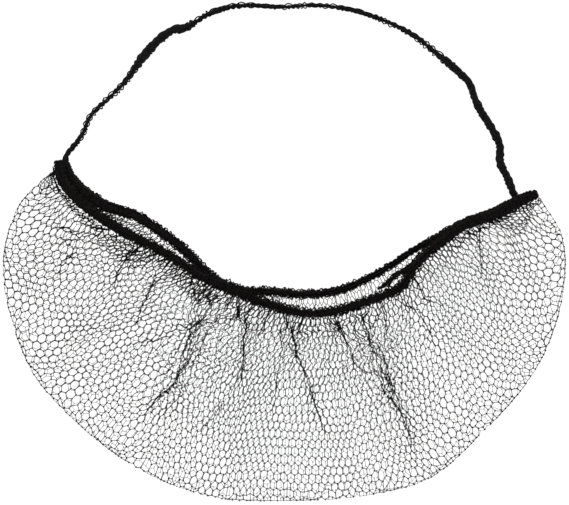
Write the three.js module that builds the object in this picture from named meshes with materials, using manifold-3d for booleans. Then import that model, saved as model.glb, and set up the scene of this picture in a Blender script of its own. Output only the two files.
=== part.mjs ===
// Beard net of black hexagon mesh, lying flat: a pouch gathered along two elastic edges, with a head loop.
// Millimetres. X runs across the pouch, Y from its foot towards the head loop, Z up from where it lies.
import * as THREE from 'three';
import { mergeVertices } from 'three/addons/utils/BufferGeometryUtils.js';
import Module from 'manifold-3d';

// Net wall
const NET_WALL = 1.2;
const STRAND = 3.4;
const COLUMNS = 20;
const ROWS = 3;
const SMALLEST_GAP = 4;
const GATHER_SHARE = 0.16;
const RIM_SHARE = 0.95;
const POINT_SHARE = 0.04;
const FOLD_RADIUS = 2.2;
const FOLD_SHARE = 0.06;
const CROWN = 8;
const BACK_DROP = 0.16;
const FRONT_RUFFLE = 1.6;
const BACK_RUFFLE = 1.4;
const FOLD_HALF_WIDTH = 0.8;

// Gathered elastic edges
const BAND_SIDES = 10;
const BAND_STEPS_PER_SECTION = 3;
const BAND_END_SHARE = 0.55;
const GATHER_LUMP = 0.06;
const SEAT_GAP = 0.5;

// Head loop
const LOOP_DIAMETER = 3.8;
const LOOP_SIDES = 8;
const LOOP_STEPS = 72;

// One row for each section across the pouch, from its left corner to its right one.
// bx, by, br: the back edge's centre and radius. fx, fy, fz, fr: the front edge's. rx, ry: the outer rim.
const SECTIONS = [
  { bx: -109.7, by: 85.0, br: 2.6, fx: -112.7, fy: 84.2, fz: 7.2, fr: 2.6, rx: -115.2, ry: 81.0 },
  { bx: -107.9, by: 78.2, br: 2.75, fx: -111.2, fy: 75.5, fz: 7.4, fr: 2.75, rx: -118.9, ry: 77.8 },
  { bx: -101.6, by: 71.4, br: 2.75, fx: -104.2, fy: 66.0, fz: 8.0, fr: 2.75, rx: -132.2, ry: 64.5 },
  { bx: -89.6, by: 62.6, br: 2.75, fx: -93.2, fy: 56.5, fz: 9.0, fr: 2.75, rx: -139.2, ry: 48.0 },
  { bx: -75.2, by: 57.4, br: 2.75, fx: -80.2, fy: 48.0, fz: 10.5, fr: 2.75, rx: -141.5, ry: 28.5 },
  { bx: -61.4, by: 49.4, br: 2.75, fx: -67.2, fy: 41.5, fz: 11.5, fr: 2.6, rx: -137.7, ry: 7.0 },
  { bx: -47.6, by: 38.0, br: 2.75, fx: -53.7, fy: 34.5, fz: 12.5, fr: 2.6, rx: -126.7, ry: -21.5 },
  { bx: -36.8, by: 27.4, br: 2.75, fx: -40.2, fy: 25.0, fz: 13.5, fr: 2.75, rx: -103.7, ry: -47.5 },
  { bx: -22.2, by: 21.0, br: 2.75, fx: -23.2, fy: 18.0, fz: 14.0, fr: 2.75, rx: -70.7, ry: -71.5 },
  { bx: -6.2, by: 19.5, br: 2.6, fx: -7.2, fy: 12.5, fz: 14.5, fr: 2.75, rx: -34.7, ry: -84.5 },
  { bx: 9.3, by: 18.5, br: 2.6, fx: 10.3, fy: 9.0, fz: 14.5, fr: 2.75, rx: 1.8, ry: -86.0 },
  { bx: 26.3, by: 20.0, br: 2.6, fx: 27.8, fy: 11.0, fz: 14.5, fr: 2.75, rx: 38.8, ry: -83.8 },
  { bx: 39.0, by: 24.4, br: 2.4, fx: 43.8, fy: 16.0, fz: 14.0, fr: 2.75, rx: 73.3, ry: -74.5 },
  { bx: 52.2, by: 31.6, br: 2.0, fx: 57.8, fy: 21.5, fz: 13.0, fr: 2.75, rx: 99.8, ry: -51.5 },
  { bx: 64.3, by: 38.9, br: 1.8, fx: 67.3, fy: 32.5, fz: 12.0, fr: 2.75, rx: 121.3, ry: -27.5 },
  { bx: 75.8, by: 46.5, br: 2.2, fx: 77.8, fy: 43.5, fz: 10.0, fr: 2.75, rx: 134.8, ry: -2.5 },
  { bx: 89.3, by: 52.5, br: 2.75, fx: 89.8, fy: 52.8, fz: 8.6, fr: 2.75, rx: 141.1, ry: 27.5 },
  { bx: 104.8, by: 59.0, br: 2.75, fx: 104.8, fy: 59.2, fz: 8.6, fr: 2.75, rx: 139.3, ry: 48.0 },
  { bx: 118.8, by: 65.0, br: 2.75, fx: 118.8, fy: 65.5, fz: 8.6, fr: 2.75, rx: 130.6, ry: 62.8 },
  { bx: 125.8, by: 68.0, br: 2.4, fx: 125.8, fy: 68.2, fz: 8.4, fr: 2.4, rx: 128.3, ry: 65.5 },
];

// One row for each main fold of the front layer.
// at: where it leaves the edge, in columns. rise: its height. reach: how far it runs towards the rim.
const FOLDS = [
  { at: 3.5, rise: 2.5, reach: 0.5 },
  { at: 5.2, rise: 2.5, reach: 0.6 },
  { at: 7.1, rise: 4.0, reach: 0.75 },
  { at: 8.4, rise: 2.5, reach: 0.4 },
  { at: 9.8, rise: 3.5, reach: 0.5 },
  { at: 11.0, rise: 3.0, reach: 0.65 },
  { at: 12.8, rise: 4.0, reach: 0.95 },
  { at: 14.3, rise: 3.0, reach: 0.5 },
  { at: 16.4, rise: 2.5, reach: 0.45 },
  { at: 18.2, rise: 2.0, reach: 0.5 },
];

// The short tuck of net that leaves the front edge, thick end first.
const TUCK = [
  { x: 65.8, y: 31.5, z: 12.2, r: 1.6 },
  { x: 60.0, y: 29.0, z: 11.8, r: 1.5 },
  { x: 53.0, y: 24.5, z: 11.6, r: 1.1 },
  { x: 46.3, y: 20.5, z: 11.4, r: 0.5 },
];

// The head loop's route over the surface, from the left end of the back edge to the right corner.
const LOOP_ROUTE = [
  { x: -109.4, y: 85.9, z: 2.5 },
  { x: -108.9, y: 87.9, z: 2.2 },
  { x: -106.2, y: 91.3, z: 2.0 },
  { x: -102.6, y: 95.9, z: 2.0 },
  { x: -100.2, y: 100.2, z: 2.0 },
  { x: -98.3, y: 105.2, z: 2.0 },
  { x: -95.7, y: 108.9, z: 2.0 },
  { x: -90.7, y: 113.7, z: 2.0 },
  { x: -85.0, y: 119.0, z: 2.0 },
  { x: -79.6, y: 124.6, z: 2.0 },
  { x: -75.7, y: 130.0, z: 2.0 },
  { x: -70.7, y: 136.8, z: 2.0 },
  { x: -63.9, y: 144.4, z: 2.0 },
  { x: -55.5, y: 150.3, z: 2.0 },
  { x: -50.7, y: 150.9, z: 2.0 },
  { x: -47.0, y: 152.6, z: 2.0 },
  { x: -43.2, y: 155.1, z: 2.0 },
  { x: -39.2, y: 157.5, z: 2.0 },
  { x: -29.7, y: 161.2, z: 2.0 },
  { x: -19.7, y: 162.6, z: 2.0 },
  { x: -2.2, y: 161.8, z: 2.0 },
  { x: 15.8, y: 162.6, z: 2.0 },
  { x: 35.0, y: 160.0, z: 2.0 },
  { x: 57.0, y: 151.8, z: 2.0 },
  { x: 67.3, y: 145.7, z: 2.0 },
  { x: 75.3, y: 139.3, z: 2.0 },
  { x: 81.6, y: 134.2, z: 2.0 },
  { x: 89.2, y: 127.4, z: 2.0 },
  { x: 91.8, y: 124.8, z: 2.0 },
  { x: 93.3, y: 122.3, z: 2.0 },
  { x: 95.1, y: 116.7, z: 2.0 },
  { x: 97.4, y: 111.4, z: 2.0 },
  { x: 104.0, y: 100.5, z: 2.0 },
  { x: 107.8, y: 93.0, z: 2.0 },
  { x: 108.2, y: 83.7, z: 2.0 },
  { x: 111.6, y: 76.4, z: 2.0 },
  { x: 113.9, y: 70.6, z: 2.4 },
  { x: 115.2, y: 67.2, z: 2.75 },
];

const { Manifold, Mesh } = await startSolids();

async function startSolids() {
  const wasm = await Module();
  wasm.setup();
  return wasm;
}

// Smooth lines through the sections
function lineThrough(points) {
  return new THREE.CatmullRomCurve3(points, false, 'centripetal');
}

const backLine = lineThrough(SECTIONS.map((row) => new THREE.Vector3(row.bx, row.by, row.br)));
const frontLine = lineThrough(SECTIONS.map((row) => new THREE.Vector3(row.fx, row.fy, row.fz)));
const rimLine = lineThrough(SECTIONS.map((row) => new THREE.Vector3(row.rx, row.ry, 0)));

function alongRows(column, share) {
  const place = share * (SECTIONS.length - 1);
  const row = Math.min(Math.floor(place), SECTIONS.length - 2);
  const blend = THREE.MathUtils.smoothstep(place - row, 0, 1);
  return THREE.MathUtils.lerp(SECTIONS[row][column], SECTIONS[row + 1][column], blend);
}

// The level direction square to a line, on the side of the outer rim
function towardsRim(line, share) {
  const tangent = line.getTangent(share);
  return new THREE.Vector3(tangent.y, -tangent.x, 0).normalize();
}

function bump(distance, halfWidth) {
  const part = Math.min(Math.abs(distance) / halfWidth, 1);
  return 0.5 + 0.5 * Math.cos(Math.PI * part);
}

function foldHeight(column, reach) {
  let height = 0;
  for (const fold of FOLDS) {
    const fade = 1 - THREE.MathUtils.smoothstep(reach, 0.25 * fold.reach, fold.reach);
    height += fold.rise * bump(column - fold.at, FOLD_HALF_WIDTH) * fade;
  }
  return height;
}

// The middle of the net's wall. Way runs from 0 at the back edge, over 1 at the rim, to 2 at the front edge.
function netPoint(column, way) {
  const firstShare = 1 / (SECTIONS.length - 1);
  const share = THREE.MathUtils.lerp(firstShare, 1 - firstShare, column / COLUMNS);
  const outward = towardsRim(rimLine, share);
  const fold = rimLine.getPoint(share).addScaledVector(outward, -FOLD_RADIUS - NET_WALL / 2);
  if (Math.abs(way - 1) <= FOLD_SHARE) {
    const turn = ((way - 1) / FOLD_SHARE) * (Math.PI / 2);
    fold.addScaledVector(outward, FOLD_RADIUS * Math.cos(turn));
    fold.z = NET_WALL / 2 + FOLD_RADIUS * (1 + Math.sin(turn));
    return fold;
  }
  const isBack = way < 1;
  const line = isBack ? backLine : frontLine;
  const radius = alongRows(isBack ? 'br' : 'fr', share);
  const reach = (1 - Math.abs(way - 1)) / (1 - FOLD_SHARE);
  const edge = line.getPoint(share).addScaledVector(towardsRim(line, share), radius + SEAT_GAP);
  const point = new THREE.Vector3().lerpVectors(edge, fold, reach);
  const ruffleFade = Math.max(0, 1 - reach / GATHER_SHARE);
  const ruffle = Math.sin(2 * Math.PI * column) * Math.min(1, ruffleFade * 1.6);
  if (isBack) {
    const drop = THREE.MathUtils.smoothstep(reach, 0, BACK_DROP);
    const rise = BACK_RUFFLE * (0.5 + 0.5 * ruffle) * ruffleFade;
    point.z = THREE.MathUtils.lerp(edge.z, NET_WALL / 2, drop) + rise;
  } else {
    const crown = CROWN * Math.sin(Math.PI * share) * Math.sin(Math.PI * reach ** 0.8);
    const level = THREE.MathUtils.lerp(edge.z, NET_WALL / 2 + 2 * FOLD_RADIUS, reach);
    point.z = level + crown + FRONT_RUFFLE * ruffle + foldHeight(column, reach) * Math.sin(Math.PI * share);
  }
  return point;
}

function netNormal(column, way) {
  const step = 0.004;
  const left = netPoint(Math.max(column - step, 0), way);
  const right = netPoint(Math.min(column + step, COLUMNS), way);
  const before = netPoint(column, Math.max(way - step, 0));
  const after = netPoint(column, Math.min(way + step, 2));
  return new THREE.Vector3().crossVectors(right.sub(left), after.sub(before)).normalize();
}

// The net's cut pattern, flat, in columns across and way along, with its gaps left open
const pattern = { spots: [], found: new Map(), triangles: [] };

function spot(column, way) {
  const key = `${column.toFixed(4)} ${way.toFixed(5)}`;
  if (!pattern.found.has(key)) {
    pattern.found.set(key, pattern.spots.length);
    pattern.spots.push(new THREE.Vector2(column, way));
  }
  return pattern.found.get(key);
}

function addFacet(a, b, c) {
  const [p, q, r] = [a, b, c].map((index) => pattern.spots[index]);
  const area = (q.x - p.x) * (r.y - p.y) - (r.x - p.x) * (q.y - p.y);
  pattern.triangles.push(area > 0 ? [a, b, c] : [a, c, b]);
}

function addPatch(outline, gap) {
  const holes = gap.length > 0 ? [gap] : [];
  const corners = [...outline, ...gap].map((corner) => spot(corner.x, corner.y));
  for (const [a, b, c] of THREE.ShapeUtils.triangulateShape(outline, holes)) {
    addFacet(corners[a], corners[b], corners[c]);
  }
}

function addStrip(upper, lower) {
  for (let i = 0; i + 1 < upper.length; i += 1) {
    const [a, b] = [spot(upper[i].x, upper[i].y), spot(upper[i + 1].x, upper[i + 1].y)];
    const [c, d] = [spot(lower[i].x, lower[i].y), spot(lower[i + 1].x, lower[i + 1].y)];
    addFacet(a, b, c);
    addFacet(b, d, c);
  }
}

// How far along the net a share of one layer lies. Side is -1 on the back layer and 1 on the front one.
function wayOf(side, reach) {
  const fromBand = reach * (1 - FOLD_SHARE);
  return side < 0 ? fromBand : 2 - fromBand;
}

// The zigzag line of strands between two rows of gaps, sampled between two places in half columns
function zigzag(side, row, from, to, splits) {
  const level = THREE.MathUtils.lerp(GATHER_SHARE, RIM_SHARE, row / ROWS);
  const corner = (half) => level + ((half + row) % 2 === 0 ? POINT_SHARE : -POINT_SHARE);
  const line = [];
  for (let i = from * splits; i <= to * splits; i += 1) {
    const half = Math.floor(i / splits);
    const reach = THREE.MathUtils.lerp(corner(half), corner(half + 1), i / splits - half);
    line.push(new THREE.Vector2(i / splits / 2, wayOf(side, reach)));
  }
  return line;
}

// A line straight across the net at one way, in equal steps
function straight(way, count) {
  return Array.from({ length: count + 1 }, (_, i) => new THREE.Vector2((i / count) * COLUMNS, way));
}

function splitsOf(row) {
  return row === ROWS ? 1 : 2;
}

function spanOf(a, b) {
  return netPoint(a.x, a.y).distanceTo(netPoint(b.x, b.y));
}

// One cell of the net: its outline, with a gap that leaves half a strand all round
function addCell(side, row, from, to) {
  const upper = zigzag(side, row, from, to, splitsOf(row));
  const lower = zigzag(side, row + 1, from, to, splitsOf(row + 1));
  const outline = [...upper, ...lower.slice().reverse()];
  const points = [upper[0], upper[(upper.length - 1) / 2], upper[upper.length - 1]];
  points.push(lower[lower.length - 1], lower[(lower.length - 1) / 2], lower[0]);
  const width = spanOf(upper[0], upper[upper.length - 1]);
  const height = spanOf(upper[0], lower[0]);
  const isWhole = to - from === 2 && Math.min(width, height) > STRAND + SMALLEST_GAP;
  const centre = new THREE.Vector2((from + to) / 4, (points[1].y + points[4].y) / 2);
  const shrink = new THREE.Vector2(1 - STRAND / width, 1 - STRAND / (height + 4));
  const gap = points.map((point) => point.clone().sub(centre).multiply(shrink).add(centre));
  addPatch(outline, isWhole ? gap : []);
}

for (const side of [-1, 1]) {
  const edge = straight(wayOf(side, 0), COLUMNS * 4);
  const gathers = straight(wayOf(side, GATHER_SHARE * 0.33), COLUMNS * 4);
  addStrip(edge, gathers);
  addStrip(gathers, zigzag(side, 0, 0, COLUMNS * 2, 2));
  for (let row = 0; row < ROWS; row += 1) {
    const shift = row % 2;
    for (let from = shift; from + 2 <= COLUMNS * 2; from += 2) {
      addCell(side, row, from, from + 2);
    }
    if (shift === 1) {
      addCell(side, row, 0, 1);
      addCell(side, row, COLUMNS * 2 - 1, COLUMNS * 2);
    }
  }
}

// The plain strip round the rim's fold
const rimLevels = [zigzag(-1, ROWS, 0, COLUMNS * 2, 1)];
for (const turn of [-1, -0.4, 0.4, 1]) {
  rimLevels.push(straight(1 + turn * FOLD_SHARE, COLUMNS * 2));
}
rimLevels.push(zigzag(1, ROWS, 0, COLUMNS * 2, 1));
for (let i = 0; i + 1 < rimLevels.length; i += 1) {
  addStrip(rimLevels[i], rimLevels[i + 1]);
}

function geometryOf(positions, faces) {
  const geometry = new THREE.BufferGeometry();
  geometry.setAttribute('position', new THREE.Float32BufferAttribute(positions, 3));
  geometry.setIndex(faces.flat());
  geometry.computeVertexNormals();
  return geometry;
}

// The pattern given its wall: an outer skin, an inner skin and a rim along every open edge
function netWall() {
  const positions = [];
  for (const half of [NET_WALL / 2, -NET_WALL / 2]) {
    for (const { x, y } of pattern.spots) {
      const point = netPoint(x, y).addScaledVector(netNormal(x, y), half);
      positions.push(point.x, point.y, Math.max(point.z, 0));
    }
  }
  const count = pattern.spots.length;
  const faces = [];
  const edges = new Set();
  for (const [a, b, c] of pattern.triangles) {
    faces.push([a, b, c], [a + count, c + count, b + count]);
    edges.add(`${a} ${b}`).add(`${b} ${c}`).add(`${c} ${a}`);
  }
  for (const edge of edges) {
    const [a, b] = edge.split(' ').map(Number);
    if (!edges.has(`${b} ${a}`)) {
      faces.push([b, a, a + count], [b, a + count, b + count]);
    }
  }
  return geometryOf(positions, faces);
}

// A round body swept along a line, with a radius of its own at each step and closed ends
function sweptRound(line, steps, sides, radiusAt) {
  const positions = [];
  const faces = [];
  for (let step = 0; step <= steps; step += 1) {
    const share = step / steps;
    const centre = line.getPoint(share);
    const tangent = line.getTangent(share);
    const across = towardsRim(line, share);
    const upward = new THREE.Vector3().crossVectors(across, tangent).normalize();
    for (let side = 0; side < sides; side += 1) {
      const angle = (2 * Math.PI * side) / sides;
      const point = centre.clone();
      point.addScaledVector(across, radiusAt(share) * Math.cos(angle));
      point.addScaledVector(upward, radiusAt(share) * Math.sin(angle));
      positions.push(point.x, point.y, point.z);
      if (step > 0) {
        const [a, b] = [step * sides + side, step * sides + ((side + 1) % sides)];
        faces.push([a, b, b - sides], [a, b - sides, a - sides]);
      }
    }
  }
  for (let side = 1; side + 1 < sides; side += 1) {
    const last = steps * sides;
    faces.push([0, side, side + 1], [last, last + side + 1, last + side]);
  }
  return geometryOf(positions, faces);
}

function bandRadius(column, share) {
  const steps = (SECTIONS.length - 1) * BAND_STEPS_PER_SECTION;
  const end = Math.min(1, BAND_END_SHARE + Math.min(share, 1 - share) * steps * (1 - BAND_END_SHARE));
  const lump = Math.round(share * steps) % 2 === 0 ? 1 : 1 - GATHER_LUMP;
  return alongRows(column, share) * lump * end;
}

function band(line, column) {
  const steps = (SECTIONS.length - 1) * BAND_STEPS_PER_SECTION;
  return sweptRound(line, steps, BAND_SIDES, (share) => bandRadius(column, share));
}

function solidOf(geometry) {
  const merged = mergeVertices(geometry.deleteAttribute('normal'), 0.0001);
  const vertProperties = new Float32Array(merged.attributes.position.array);
  const triVerts = new Uint32Array(merged.index.array);
  return new Manifold(new Mesh({ numProp: 3, vertProperties, triVerts }));
}

function joined(first, second) {
  const mesh = Manifold.union(solidOf(first), solidOf(second)).getMesh();
  const geometry = new THREE.BufferGeometry();
  geometry.setAttribute('position', new THREE.Float32BufferAttribute(mesh.vertProperties, 3));
  geometry.setIndex(Array.from(mesh.triVerts));
  geometry.computeVertexNormals();
  return geometry;
}

function tuck() {
  const line = lineThrough(TUCK.map((row) => new THREE.Vector3(row.x, row.y, row.z)));
  const radiusAt = (share) => {
    const place = share * (TUCK.length - 1);
    const row = Math.min(Math.floor(place), TUCK.length - 2);
    return THREE.MathUtils.lerp(TUCK[row].r, TUCK[row + 1].r, place - row);
  };
  return sweptRound(line, 6, 8, radiusAt);
}

function headLoop() {
  const section = new THREE.Shape();
  section.absarc(0, 0, LOOP_DIAMETER / 2, 0, 2 * Math.PI, false);
  const route = lineThrough(LOOP_ROUTE.map((row) => new THREE.Vector3(row.x, row.y, row.z)));
  return new THREE.ExtrudeGeometry(section, {
    steps: LOOP_STEPS,
    curveSegments: LOOP_SIDES / 2,
    extrudePath: route,
    bevelEnabled: false,
  });
}

function piece(name, geometry, color) {
  const material = new THREE.MeshStandardMaterial({ color, roughness: 0.85, metalness: 0 });
  const mesh = new THREE.Mesh(geometry, material);
  mesh.name = name;
  return mesh;
}

const group = new THREE.Group();
group.name = 'beard_net';
group.add(piece('net_pouch', netWall(), 0x1b1919));
group.add(piece('back_band', band(backLine, 'br'), 0x151313));
group.add(piece('front_band', joined(band(frontLine, 'fr'), tuck()), 0x151313));
group.add(piece('head_loop', headLoop(), 0x181616));

export default group;
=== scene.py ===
import bpy
import numpy as np
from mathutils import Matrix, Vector


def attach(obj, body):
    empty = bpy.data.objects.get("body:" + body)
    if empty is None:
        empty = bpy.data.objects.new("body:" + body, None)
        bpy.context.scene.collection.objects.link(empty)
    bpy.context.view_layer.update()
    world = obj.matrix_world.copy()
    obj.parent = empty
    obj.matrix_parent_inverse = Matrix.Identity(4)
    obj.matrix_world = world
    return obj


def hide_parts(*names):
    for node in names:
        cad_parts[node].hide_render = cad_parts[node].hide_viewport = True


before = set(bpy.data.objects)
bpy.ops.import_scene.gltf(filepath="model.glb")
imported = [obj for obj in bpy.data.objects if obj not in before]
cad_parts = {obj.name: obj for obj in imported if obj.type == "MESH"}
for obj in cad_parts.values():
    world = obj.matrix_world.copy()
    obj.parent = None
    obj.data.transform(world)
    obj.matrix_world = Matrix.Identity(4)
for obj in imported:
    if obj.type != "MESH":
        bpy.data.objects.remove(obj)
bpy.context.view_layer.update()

# Camera: the net lies flat and is looked at from straight above, from far enough off that hardly any of it
# leans. The picture spans half a millimetre to a pixel, with the middle of the pouch below its centre.
# Sizes are in millimetres in this and the next sections, down to the table's, and MM turns them into metres.
MM = 0.001
PICTURE_PIXELS = (569, 505)
MM_PER_PIXEL = 0.5
POUCH_MIDDLE_PIXEL = (284.4, 330.0)
LENS_MM = 250.0
SENSOR_MM = 36.0
TRUE_SCALE_LEVEL_MM = 6.0

camera_data = bpy.data.cameras.new("camera_above")
camera_data.lens = LENS_MM
camera_data.sensor_width = SENSOR_MM
camera = bpy.data.objects.new("camera_above", camera_data)
bpy.context.scene.collection.objects.link(camera)
bpy.context.scene.camera = camera
camera.location = (
    (PICTURE_PIXELS[0] / 2 - POUCH_MIDDLE_PIXEL[0]) * MM_PER_PIXEL * MM,
    (POUCH_MIDDLE_PIXEL[1] - PICTURE_PIXELS[1] / 2) * MM_PER_PIXEL * MM,
    (PICTURE_PIXELS[0] * MM_PER_PIXEL * LENS_MM / SENSOR_MM + TRUE_SCALE_LEVEL_MM) * MM,
)


# Head loop: a thin round elastic in a sleeve of black net. The sleeve is gathered up along it, packed tight
# in some stretches and standing off in small open loops of yarn in others. It grows out of the left end of
# the back edge and is sewn to the edges near their right end.
# Its line on the table, from the left end to the right one, as in the part's source.
LOOP_ROUTE = [
    (-109.4, 85.9, 2.5),
    (-108.9, 87.9, 2.2),
    (-106.2, 91.3, 2.0),
    (-102.6, 95.9, 2.0),
    (-100.2, 100.2, 2.0),
    (-98.3, 105.2, 2.0),
    (-95.7, 108.9, 2.0),
    (-90.7, 113.7, 2.0),
    (-85.0, 119.0, 2.0),
    (-79.6, 124.6, 2.0),
    (-75.7, 130.0, 2.0),
    (-70.7, 136.8, 2.0),
    (-63.9, 144.4, 2.0),
    (-55.5, 150.3, 2.0),
    (-50.7, 150.9, 2.0),
    (-47.0, 152.6, 2.0),
    (-43.2, 155.1, 2.0),
    (-39.2, 157.5, 2.0),
    (-29.7, 161.2, 2.0),
    (-19.7, 162.6, 2.0),
    (-2.2, 161.8, 2.0),
    (15.8, 162.6, 2.0),
    (35.0, 160.0, 2.0),
    (57.0, 151.8, 2.0),
    (67.3, 145.7, 2.0),
    (75.3, 139.3, 2.0),
    (81.6, 134.2, 2.0),
    (89.2, 127.4, 2.0),
    (91.8, 124.8, 2.0),
    (93.3, 122.3, 2.0),
    (95.1, 116.7, 2.0),
    (97.4, 111.4, 2.0),
    (104.0, 100.5, 2.0),
    (107.8, 93.0, 2.0),
    (108.2, 83.7, 2.0),
    (111.6, 76.4, 2.0),
    (113.9, 70.6, 2.4),
    (115.2, 67.2, 2.75),
]
# Where its ends run on into the gathers.
LOOP_LEFT_END = (-109.6, 83.6, 2.6)
LOOP_RIGHT_END = (116.0, 65.2, 2.75)
# How thick the loop is along its length: share of the length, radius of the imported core, reach of the curls.
LOOP_THICKNESS = [
    (0.000, 1.1, 1.3),
    (0.020, 0.9, 1.4),
    (0.050, 0.85, 1.65),
    (0.090, 0.75, 1.8),
    (0.135, 0.75, 1.85),
    (0.165, 0.95, 2.0),
    (0.190, 1.4, 2.3),
    (0.209, 2.1, 2.4),
    (0.223, 2.2, 2.5),
    (0.252, 1.9, 2.2),
    (0.266, 2.2, 2.5),
    (0.276, 1.7, 2.0),
    (0.287, 2.3, 2.6),
    (0.304, 1.9, 2.2),
    (0.320, 0.95, 2.1),
    (0.340, 0.95, 2.2),
    (0.352, 1.4, 1.6),
    (0.368, 1.2, 1.6),
    (0.385, 0.9, 1.7),
    (0.410, 0.85, 1.4),
    (0.440, 0.9, 1.2),
    (0.465, 0.7, 1.6),
    (0.500, 0.65, 1.75),
    (0.540, 0.65, 1.75),
    (0.565, 1.0, 1.2),
    (0.600, 1.0, 1.2),
    (0.625, 0.75, 1.6),
    (0.653, 0.8, 1.65),
    (0.680, 1.05, 1.6),
    (0.705, 1.0, 2.1),
    (0.735, 1.25, 2.4),
    (0.745, 1.9, 2.3),
    (0.765, 1.9, 2.1),
    (0.786, 1.7, 1.9),
    (0.822, 1.6, 1.8),
    (0.848, 1.9, 2.2),
    (0.865, 1.8, 2.0),
    (0.900, 1.9, 2.1),
    (0.915, 1.7, 1.9),
    (0.933, 2.1, 2.4),
    (0.948, 1.7, 1.9),
    (0.970, 1.9, 2.1),
    (1.000, 1.3, 1.6),
]
# How the loop and, more finely, its core swell along their length: shortest wave, longest, depth.
LOOP_SWELL = (3.0, 9.0, 0.06)
LOOP_SWELL_SEED = 10
LOOP_CORE_SWELL = (1.8, 3.8, 0.17)
LOOP_CORE_SWELL_SEED = 12
SWELL_WAVES = 5
LATEST_PHASE = 6.3
# How open the sleeve counts as, by how far its curls reach past the core.
LOOP_OPENNESS_RATE = 2.5
LOOP_LEAST_OPENNESS = 0.35
LOOP_CORE_SIDES = 12
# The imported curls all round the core.
LOOP_STRANDS = 7
LOOP_CURL_ANGLES = 2 * np.pi * np.arange(LOOP_STRANDS) / LOOP_STRANDS
LOOP_CURL_PITCH = 2.4
LOOP_CURL_SEED = 11
LOOP_BUMP_HEIGHT = 0.2
LOOP_FOOT_SHARE = 0.85
CURL_YARN_RADIUS = 0.19
CURL_TURN_BACK = (0.05, 0.3)
CURL_FULLNESS = 1.0
# The open loops of yarn at its two sides: angle round the core, length of a loop, seed.
LOOP_ARCHES = [(0.1, 2.6, 13), (np.pi - 0.1, 3.6, 14)]
LOOP_ARCH_YARN_RADIUS = 0.33
ARCH_TURN_BACK = (0.0, 0.2)
ARCH_FULLNESS = 0.45
# How every curl is drawn, and how curls differ in length, height and lean, as shares of the usual one.
CURL_SIDES = 4
POINTS_PER_CURL = 9
CURL_REST_HEIGHT = 0.34
CURL_LENGTH = (0.5, 1.6)
CURL_HEIGHT = (0.4, 1.15)
CURL_SWAY = 0.3
CURL_DRIFT = 0.2
CURL_DRIFT_POINTS = 14
# How finely a line is followed: samples for each point of its route, then the step of the finished line.
SAMPLES_PER_POINT = 60
LINE_STEP = 0.5
LEAST_GAP = 1e-9


def smooth_line(points, places):
    """Points on a smooth Catmull-Rom line through the given ones, at places counted from the first one."""
    points = np.asarray(points, float)
    padded = np.vstack([2 * points[0] - points[1], points, 2 * points[-1] - points[-2]])
    first = np.clip(np.floor(places).astype(int), 0, len(points) - 2)
    part = (np.asarray(places, float) - first)[:, None]
    p0, p1, p2, p3 = (padded[first + k] for k in range(4))
    gap0, gap1, gap2 = (
        np.sqrt(np.maximum(np.linalg.norm(b - a, axis=1, keepdims=True), LEAST_GAP))
        for a, b in ((p0, p1), (p1, p2), (p2, p3))
    )
    leave = ((p1 - p0) / gap0 - (p2 - p0) / (gap0 + gap1) + (p2 - p1) / gap1) * gap1
    arrive = ((p2 - p1) / gap1 - (p3 - p1) / (gap1 + gap2) + (p3 - p2) / gap2) * gap1
    cubic = 2 * p1 - 2 * p2 + leave + arrive
    square = -3 * p1 + 3 * p2 - 2 * leave - arrive
    return cubic * part**3 + square * part**2 + leave * part + p1


def lengths_along(points):
    """How far along a line each of its points lies."""
    return np.concatenate([[0], np.cumsum(np.linalg.norm(np.diff(points, axis=0), axis=1))])


def at_lengths(wanted, run, points):
    """The points at the wanted lengths along a line, whose own points lie at the lengths in run."""
    return np.column_stack([np.interp(wanted, run, points[:, k]) for k in range(3)])


def even_line(points, step):
    """The smooth line through the points, sampled about every step along its length."""
    fine = smooth_line(points, np.linspace(0, len(points) - 1, SAMPLES_PER_POINT * len(points)))
    run = lengths_along(fine)
    return at_lengths(np.linspace(0, run[-1], max(2, round(run[-1] / step) + 1)), run, fine)


def line_frames(line):
    """The level side direction and the upward direction, square to an evenly sampled line."""
    along = np.gradient(line, axis=0)
    along /= np.linalg.norm(along, axis=1, keepdims=True)
    side = np.column_stack([along[:, 1], -along[:, 0], np.zeros(len(line))])
    side /= np.linalg.norm(side, axis=1, keepdims=True)
    return side, np.cross(side, along)


def lumpy(run, seed, least, most, depth):
    """A factor near 1 that swells and sinks along a line, in waves between the least and the most length."""
    rng = np.random.default_rng(seed)
    waves = [
        np.sin(2 * np.pi * run / rng.uniform(least, most) + rng.uniform(0, LATEST_PHASE))
        for _ in range(SWELL_WAVES)
    ]
    return 1 + depth * sum(waves) / 2


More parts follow.
